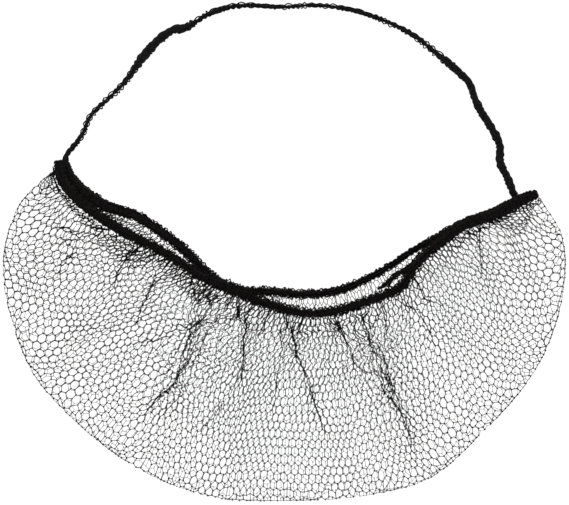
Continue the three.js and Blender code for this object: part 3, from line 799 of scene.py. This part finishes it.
def net_points(places, distance, side):
    """Points of one layer, at places across in sections and distances from the rim, and their reach."""
    edge, fold, outward = layer_ends(places, side)
    drop = fold - edge
    drop[:, 2] = 0
    length = np.linalg.norm(drop, axis=1)
    bend = np.pi / 2 * FOLD_RADIUS
    turn = np.minimum(distance / bend, 1) * np.pi / 2
    reach = 1 - np.maximum(distance - bend, 0) / length
    point = edge + drop * reach[:, None]
    # The wales bend on their way out, so that they meet the rim square to it.
    point += (outward * length[:, None] - drop) * (reach**2 * (reach - 1))[:, None]
    point += outward * (FOLD_RADIUS * np.cos(turn))[:, None]
    across = RUFFLES * (places - 1) / (last_section - 2)
    arch = np.sin(np.pi * places / last_section)
    ruffle_fade = np.clip(1 - reach / RUFFLE_REACH, 0, MOST_RUFFLE)
    ruffle = np.sin(2 * np.pi * across) * np.minimum(1, ruffle_fade * RUFFLE_GAIN)
    if side < 0:
        level = edge[:, 2] + (NET_WALL / 2 - edge[:, 2]) * smoothstep(reach, 0, BACK_DROP)
        level += BACK_RUFFLE * (1 + ruffle) / 2 * ruffle_fade
    else:
        level = edge[:, 2] + (NET_WALL / 2 + 2 * FOLD_RADIUS - edge[:, 2]) * reach
        crown = CROWN * np.sin(np.pi * np.clip(reach, 0, 1) ** CROWN_SKEW)
        level += arch * crown + FRONT_RUFFLE * ruffle
        for at, rise, far in FRONT_FOLDS:
            fade = 1 - smoothstep(reach, FOLD_FULL_SHARE * far, far)
            level += rise * np.exp(-(((across - at) / FOLD_SPREAD) ** 2)) * fade * arch
    round_rim = NET_WALL / 2 + FOLD_RADIUS * (1 + side * np.sin(turn))
    point[:, 2] = np.where(distance < bend, round_rim, level)
    return point, reach


def wale_places():
    """Places of the half columns across the net. Its cells are narrower at the foot than at the sides."""
    fine = np.linspace(CORNER_PLACE, last_section - CORNER_PLACE, PLACE_SAMPLES)
    rim = smooth_line(rim_points, fine)
    widths = CELL_WIDTH_MIDDLE + (CELL_WIDTH_SIDES - CELL_WIDTH_MIDDLE) * sideways(rim)
    steps = np.linalg.norm(np.diff(rim, axis=0), axis=1) / (widths[1:] / 2)
    count = np.concatenate([[0], np.cumsum(steps)])
    halves = round(count[-1])
    return np.interp(np.linspace(0, count[-1], halves + 1), count, fine)


def cell_drift(across, along, seed, amount, across_wave, along_wave):
    """A slow, seeded drift of the cells over the net."""
    rng = np.random.default_rng(seed)
    total = 0 * across
    for _ in range(DRIFT_WAVES):
        turn = across / across_wave * rng.uniform(*DRIFT_SPREAD) * rng.choice([-1, 1])
        turn = turn + along / along_wave * rng.uniform(*DRIFT_SPREAD)
        total = total + np.sin(2 * np.pi * turn + rng.uniform(0, LATEST_PHASE))
    return amount * total / 2


def pleat_shift(places, reach, seed):
    """How far the pleats that leave an edge push the net sideways, in sections."""
    rng = np.random.default_rng(seed)
    shift = 0 * places
    for start in np.arange(PLEAT_MARGIN, last_section - PLEAT_MARGIN, PLEAT_SPACING):
        away = places - start - rng.uniform(-PLEAT_STRAY, PLEAT_STRAY) * PLEAT_SPACING
        tight = rng.uniform(*PLEAT_PULL) * np.exp(-np.abs(away) / rng.uniform(*PLEAT_WIDTH))
        far = rng.uniform(*PLEAT_REACH)
        shift -= away * tight * (1 - smoothstep(reach, PLEAT_FULL_SHARE * far, far))
    return shift


def draw_creases(point, side):
    """Draws one layer's points in to its creases, raises them a little, and tells how full the yarn is."""
    rng = np.random.default_rng(CREASE_SEED)
    bulk = np.ones(len(point))
    for number, (layer, width, pull, course) in enumerate(CREASES):
        if layer != side:
            continue
        line = even_line([(x, y, 0) for x, y in course], CREASE_STEP)[:, :2]
        low = line.min(0) - CREASE_LIMIT * width
        high = line.max(0) + CREASE_LIMIT * width
        near = np.flatnonzero((point[:, :2] > low).all(1) & (point[:, :2] < high).all(1))
        offset = point[near, None, :2] - line[None]
        nearest = np.argmin((offset**2).sum(2), axis=1)
        away = offset[np.arange(len(near)), nearest]
        share = nearest / (len(line) - 1)
        fade = smoothstep(share, 0, CREASE_END) * (1 - smoothstep(share, 1 - CREASE_END, 1))
        fade *= np.clip(lumpy(CREASE_STEP * nearest, number, *CREASE_UNEVEN), *CREASE_STRENGTH)
        spread = width * (CREASE_START_WIDTH + (CREASE_LAST_WIDTH - CREASE_START_WIDTH) * share)
        strength = fade * np.exp(-np.linalg.norm(away, axis=1) / spread)
        point[near, :2] -= away * (pull * rng.normal(1, CREASE_SCATTER, len(near)) * strength)[:, None]
        point[near, 2] += CREASE_RISE * strength
        if pull > 1:
            bulk[near] = np.maximum(bulk[near], 1 + CREASE_BULK * strength)
    return bulk


def cell_paths(halves, rows, seed):
    """The yarns of a six-sided net: place across in half columns and along in rows, how loose each knot is
    both ways, and how high the yarn lies where two run together."""
    loose = np.random.default_rng(seed).normal(0, 1, (halves + 1, 2 * len(rows), 2))
    paths = []
    for half in range(halves):
        column = np.repeat(np.where((half + rows) % 2 == 0, half, half + 1), 2)
        ends = np.column_stack([rows + CELL_POINT, rows + 1 - CELL_POINT]).ravel()
        corners = np.column_stack([column, ends, loose[column, np.arange(len(column))]])
        middles = (corners[:-1] + corners[1:]) / 2
        path = np.column_stack([corners[:-1], middles]).reshape(-1, corners.shape[1])
        lift = np.where(path[:, 0] > half, TWIST_LIFT, -TWIST_LIFT)
        paths.append(np.column_stack([path, lift]))
    return np.array(paths)


def are_knots(lift):
    """Which points of the yarns are knots: the corners of the cells, on the lower of the two yarns there."""
    return (np.arange(len(lift)) % 2 == 0) & (lift < 0)


half_columns = wale_places()


def net_yarns():
    """All the yarns from the back edge round the rim to the front edge: points, layers, reaches,
    thicknesses, and which points are knots."""
    last_half = len(half_columns) - 1
    paths = cell_paths(last_half, np.arange(-MOST_ROWS, MOST_ROWS), CELL_SEED)
    size = paths.shape[1]
    across, along, loose_across, loose_along, lift = paths.reshape(-1, paths.shape[-1]).T
    across = across + ROW_SLANT * along + cell_drift(across, along, *DRIFT_ACROSS)
    column_drift = cell_drift(across, 0 * along, *DRIFT_OF_COLUMNS)
    along = along + column_drift + cell_drift(across, along, *DRIFT_ALONG)
    side = np.where(along < 0, -1, 1)
    point = np.zeros((len(along), 3))
    reach = np.zeros(len(along))
    thickness = np.zeros(len(along))
    for layer in (-1, 1):
        mine = side == layer
        rows = np.abs(along[mine])
        first = np.clip(across[mine], 0, last_half)
        places = np.interp(first, np.arange(last_half + 1), half_columns)
        _, reach[mine] = net_points(places, row_distance(places, rows, layer), layer)
        crumple = JITTER + EDGE_JITTER * (1 - smoothstep(reach[mine], 0, EDGE_JITTER_REACH))
        moved = np.clip(first + crumple * loose_across[mine], 0, last_half)
        places = np.interp(moved, np.arange(last_half + 1), half_columns)
        places = places + pleat_shift(places, reach[mine], PLEAT_SEED + layer)
        places = np.clip(places, CORNER_PLACE, last_section - CORNER_PLACE)
        crumple += RIM_JITTER * smoothstep(reach[mine], RIM_JITTER_START, 1)
        distance = row_distance(places, np.abs(rows + crumple * loose_along[mine]), layer)
        layer_point, reach[mine] = net_points(places, distance, layer)
        fullness = np.interp(places, *np.array(YARN_FULLNESS).T)
        fullness *= 1 + EDGE_BULK[layer] * (1 - smoothstep(reach[mine], 0, EDGE_BULK_REACH))
        thickness[mine] = NET_YARN_RADIUS[layer] * fullness * draw_creases(layer_point, layer)
        point[mine] = layer_point
    point[:, 2] = np.maximum(point[:, 2] + lift, thickness)
    knot = are_knots(lift)
    return [values.reshape(-1, size, *values.shape[1:]) for values in (point, side, reach, thickness, knot)]


def split_at_rim(points, sides, reaches, thicknesses, knots):
    """Each yarn's run and its knots on the back and the front layer, to just inside the gathered edge."""
    runs = {-1: [], 1: []}
    for point, side, reach, thickness, knot in zip(points, sides, reaches, thicknesses, knots):
        rim = int(np.argmax(side > 0))
        past_front = np.flatnonzero(reach[rim:] < -EDGE_OVERRUN)
        past_back = np.flatnonzero(reach[:rim][::-1] < -EDGE_OVERRUN)
        front_stop = rim + past_front[0] if len(past_front) else len(point)
        back_stop = rim - past_back[0] if len(past_back) else 0
        if front_stop - rim > 1:
            run = slice(rim - 1, front_stop)
            ties = rim + np.flatnonzero(knot[rim:front_stop])
            runs[1].append((point[run], thickness[run], point[ties], reach[ties]))
        if rim - back_stop > 1:
            run = slice(back_stop, rim + 1)
            ties = back_stop + np.flatnonzero(knot[back_stop:rim])
            runs[-1].append((point[run], thickness[run], point[ties], reach[ties]))
    return runs


def knot_node_tree():
    """Sets one small round knot on every point."""
    tree = bpy.data.node_groups.new("yarn_knots", "GeometryNodeTree")
    interface = tree.interface
    interface.new_socket("Points", in_out="INPUT", socket_type="NodeSocketGeometry")
    interface.new_socket("Yarn", in_out="INPUT", socket_type="NodeSocketMaterial")
    interface.new_socket("Knots", in_out="OUTPUT", socket_type="NodeSocketGeometry")
    nodes, links = tree.nodes, tree.links
    entry = nodes.new("NodeGroupInput")
    leave = nodes.new("NodeGroupOutput")
    to_points = nodes.new("GeometryNodeMeshToPoints")
    thickness = nodes.new("GeometryNodeInputNamedAttribute")
    thickness.data_type = "FLOAT"
    thickness.inputs["Name"].default_value = "thickness"
    knot = nodes.new("GeometryNodeMeshUVSphere")
    knot.inputs["Segments"].default_value = KNOT_SEGMENTS
    knot.inputs["Rings"].default_value = KNOT_RINGS
    knot.inputs["Radius"].default_value = 1.0
    instance = nodes.new("GeometryNodeInstanceOnPoints")
    smooth = nodes.new("GeometryNodeSetShadeSmooth")
    realize = nodes.new("GeometryNodeRealizeInstances")
    set_material = nodes.new("GeometryNodeSetMaterial")
    links.new(entry.outputs["Points"], to_points.inputs["Mesh"])
    links.new(to_points.outputs["Points"], instance.inputs["Points"])
    links.new(knot.outputs["Mesh"], smooth.inputs["Geometry"])
    links.new(smooth.outputs["Geometry"], instance.inputs["Instance"])
    links.new(thickness.outputs["Attribute"], instance.inputs["Scale"])
    links.new(instance.outputs["Instances"], realize.inputs["Geometry"])
    links.new(realize.outputs["Geometry"], set_material.inputs["Geometry"])
    links.new(entry.outputs["Yarn"], set_material.inputs["Material"])
    links.new(set_material.outputs["Geometry"], leave.inputs["Knots"])
    return tree


yarn_knots = knot_node_tree()


def knot_points(name, points, radii, material):
    """One plain mesh piece of small knots at the given points and of the given radii, in millimetres."""
    places = bpy.data.meshes.new(name + "_places")
    places.from_pydata(points * MM, [], [])
    places.attributes.new("thickness", "FLOAT", "POINT").data.foreach_set(
        "value", radii.astype(np.float32) * MM
    )
    return made_by_nodes(name, places, yarn_knots, {"Yarn": material})


net_yarn = black_yarn(
    "net_yarn",
    deep=(0.0008, 0.0007, 0.0007),
    worn=(0.012, 0.010, 0.010),
    grain=2200.0,
    roughness=0.6,
)
layer_runs = split_at_rim(*net_yarns())
for name, layer in (("net_back", -1), ("net_front", 1)):
    yarns, thickness, knots, reaches = zip(*layer_runs[layer])
    slack = smoothstep(np.concatenate(reaches), 0, KNOT_SLACK_REACH)
    knot_radii = (EDGE_KNOT_RADIUS + (KNOT_RADIUS - EDGE_KNOT_RADIUS) * slack) * KNOT_SIZE[layer]
    yarn_piece = knit_piece(name + "_layer", yarns, thickness, NET_YARN_SIDES, net_yarn)
    knot_piece = knot_points(name + "_knots", np.vstack(knots), knot_radii, net_yarn)
    for piece in (yarn_piece, knot_piece):
        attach(piece, "root")
        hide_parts("net_pouch")


# Bunched net: more of the pouch's own net, of the same yarn. In places the drawn-up edges have crowded it
# beside them into rows of small, tangled cells, which run on from the gathers and lie on the two layers.

# Layer, reach, rows of cells, then places along the edge, in sections, with a half column's width there.
BUNCHES = [
    (-1, 0.14, 4, [(0.8, 0.5), (2.4, 0.6), (3.2, 0.75), (4.2, 0.9), (5.2, 1.2), (6.3, 1.0), (7.2, 0.7)]),
    (1, 0.14, 3, [(0.3, 1.0), (1.5, 1.1), (3.5, 1.4)]),
    (1, 0.9, 7, [(0.3, 1.4), (0.9, 1.6), (1.6, 1.9)]),
    (1, 0.2, 5, [(3.7, 1.4), (4.6, 1.1), (5.4, 1.4)]),
    (1, 0.12, 2, [(15.3, 1.6), (16.3, 1.4), (17.3, 1.4)]),
    (1, 0.45, 6, [(16.8, 1.4), (18.0, 1.2), (18.5, 1.2)]),
    (1, 0.95, 4, [(18.3, 1.4), (18.9, 1.3)]),
]
BUNCHED_JITTER = 0.2
BUNCHED_SEED = 71
BUNCHED_RADIUS = 0.24
BUNCHED_SIDES = 4
BUNCHED_OVERRUN = 0.01
BUNCHED_SAMPLES = 2000

bunched, bunched_knots = [], []
for side, far, rows, columns in BUNCHES:
    fine = np.linspace(columns[0][0], columns[-1][0], BUNCHED_SAMPLES)
    edge = layer_ends(fine, side)[0]
    steps = np.linalg.norm(np.diff(edge, axis=0), axis=1) / np.interp(fine[1:], *np.array(columns).T)
    count = np.concatenate([[0], np.cumsum(steps)])
    paths = cell_paths(int(count[-1]), np.arange(rows), BUNCHED_SEED)
    across, along, loose_across, loose_along, lift = paths.reshape(-1, paths.shape[-1]).T
    places = np.interp(across + BUNCHED_JITTER * loose_across, count, fine)
    part = (along + BUNCHED_JITTER * loose_along) / rows
    edge, fold, _ = layer_ends(places, side)
    distance = np.clip(1 - far * part, 0, 1 + BUNCHED_OVERRUN) * layer_length(edge, fold)
    point, _ = net_points(places, distance, side)
    point[:, 2] = np.maximum(point[:, 2] + lift, BUNCHED_RADIUS)
    bunched.extend(point.reshape(*paths.shape[:2], 3))
    bunched_knots.append(point[are_knots(lift)])
bunched_thickness = [np.full(len(yarn), BUNCHED_RADIUS) for yarn in bunched]
bunched_net = knit_piece("bunched_net", bunched, bunched_thickness, BUNCHED_SIDES, net_yarn)
bunched_knots = np.vstack(bunched_knots)
bunched_radii = np.full(len(bunched_knots), EDGE_KNOT_RADIUS)
bunched_net_knots = knot_points("bunched_net_knots", bunched_knots, bunched_radii, net_yarn)
for piece in (bunched_net, bunched_net_knots):
    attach(piece, "root")
    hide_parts("net_pouch")


# Table and light: a wide white table top under even, soft light from the whole room and two large lamps, so
# that shadows hardly show. The net lies just clear of it. The sizes and places here are in metres.
TABLE_SIZE = 6.0
TABLE_DROP = 0.0003
TABLE_COLOUR = (0.12, 0.12, 0.12, 1)
TABLE_ROUGHNESS = 0.9
TABLE_GLOW = 0.98
WHITE = (1, 1, 1, 1)
ROOM_LIGHT = 0.3
LAMP_SIZE = 1.2
LAMPS = [("key_light", (-0.9, 0.9, 1.6), 14.0), ("fill_light", (1.1, -0.7, 1.5), 8.0)]

half = TABLE_SIZE / 2
table_corners = [(-half, -half), (half, -half), (half, half), (-half, half)]
table_mesh = bpy.data.meshes.new("table_top")
table_mesh.from_pydata([(x, y, -TABLE_DROP) for x, y in table_corners], [], [(0, 1, 2, 3)])
table = bpy.data.objects.new("table_top", table_mesh)
bpy.context.scene.collection.objects.link(table)
table_finish = bpy.data.materials.new("table_white")
table_finish.use_nodes = True
table_shader = table_finish.node_tree.nodes["Principled BSDF"]
table_shader.inputs["Base Color"].default_value = TABLE_COLOUR
table_shader.inputs["Roughness"].default_value = TABLE_ROUGHNESS
table_shader.inputs["Emission Color"].default_value = WHITE
table_shader.inputs["Emission Strength"].default_value = TABLE_GLOW
table_mesh.materials.append(table_finish)

world = bpy.data.worlds.new("studio")
bpy.context.scene.world = world
world.use_nodes = True
room = world.node_tree.nodes["Background"]
room.inputs["Color"].default_value = WHITE
room.inputs["Strength"].default_value = ROOM_LIGHT
for name, place, watts in LAMPS:
    light = bpy.data.lights.new(name, "AREA")
    light.size = LAMP_SIZE
    light.energy = watts
    lamp = bpy.data.objects.new(name, light)
    lamp.location = place
    bpy.context.scene.collection.objects.link(lamp)
    lamp.rotation_euler = (-Vector(place)).to_track_quat("-Z", "Y").to_euler()
bpy.context.scene.view_settings.view_transform = "Standard"
